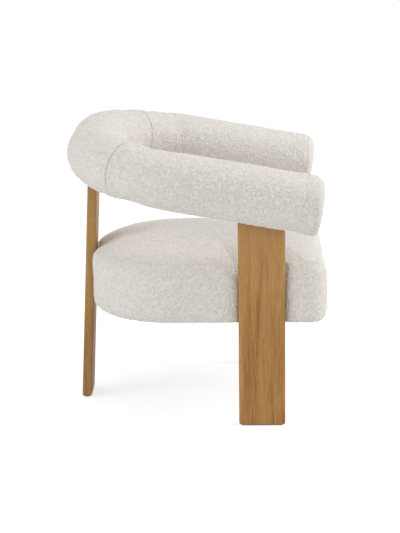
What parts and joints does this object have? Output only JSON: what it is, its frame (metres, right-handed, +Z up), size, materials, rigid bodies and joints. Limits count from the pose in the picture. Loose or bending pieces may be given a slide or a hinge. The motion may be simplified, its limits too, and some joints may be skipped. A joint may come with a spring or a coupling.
{
  "type": "upholstered armchair",
  "caption": "Armchair with one padded round hoop as back and arms, sloping down to the front, a domed seat cushion in woven cloth, and flat wooden plank legs.",
  "frame": {"origin": "on the floor, under the centre of the chair's bounding box", "axes": "+Z up, -Y the way the chair faces, +X to the occupant's left; the chair is mirror-symmetric about the X = 0 plane, and its longest side is its height"},
  "size_m": [0.7094, 0.646, 0.7356],
  "materials": {
    "fabric": "matte looped boucle",
    "foam": "open-cell foam",
    "oak": "satin oiled oak",
    "plywood": "raw plywood",
    "webbing": "woven elastic webbing",
    "dust_cover": "thin non-woven cloth",
    "felt": "pressed felt",
    "steel": "zinc plated"
  },
  "bodies": {
    "root": {"arm_cover_left": "fabric", "arm_cover_right": "fabric", "arm_end_cap_left": "fabric", "arm_end_cap_right": "fabric", "arm_foam_left": "foam", "arm_foam_right": "foam", "arm_ply_lower_left": "plywood", "arm_ply_lower_right": "plywood", "arm_ply_upper_left": "plywood", "arm_ply_upper_right": "plywood", "back_cover_left": "fabric", "back_cover_right": "fabric", "back_foam": "foam", "back_ply_lower": "plywood", "back_ply_upper": "plywood", "back_rail": "plywood", "bolt_front_left_1": "steel", "bolt_front_left_2": "steel", "bolt_front_right_1": "steel", "bolt_front_right_2": "steel", "bolt_rear_1": "steel", "bolt_rear_2": "steel", "corner_block_left": "plywood", "corner_block_right": "plywood", "cross_strap_1": "webbing", "cross_strap_2": "webbing", "cross_strap_3": "webbing", "cross_strap_4": "webbing", "dust_cover": "dust_cover", "felt_pad_front_left": "felt", "felt_pad_front_right": "felt", "felt_pad_rear": "felt", "front_leg_left": "oak", "front_leg_right": "oak", "front_rail": "plywood", "insert_front_left_1": "steel", "insert_front_left_2": "steel", "insert_front_right_1": "steel", "insert_front_right_2": "steel", "insert_rear_1": "steel", "insert_rear_2": "steel", "leg_screw_front_left_1": "steel", "leg_screw_front_left_2": "steel", "leg_screw_front_right_1": "steel", "leg_screw_front_right_2": "steel", "leg_screw_rear_1": "steel", "leg_screw_rear_2": "steel", "long_strap_1": "webbing", "long_strap_2": "webbing", "long_strap_3": "webbing", "rear_leg": "oak", "rear_leg_wedge": "plywood", "seat_cover": "fabric", "seat_foam": "foam", "side_rail_left": "plywood", "side_rail_right": "plywood", "splice_block_left": "plywood", "splice_block_right": "plywood"}
  },
  "joints": []
}
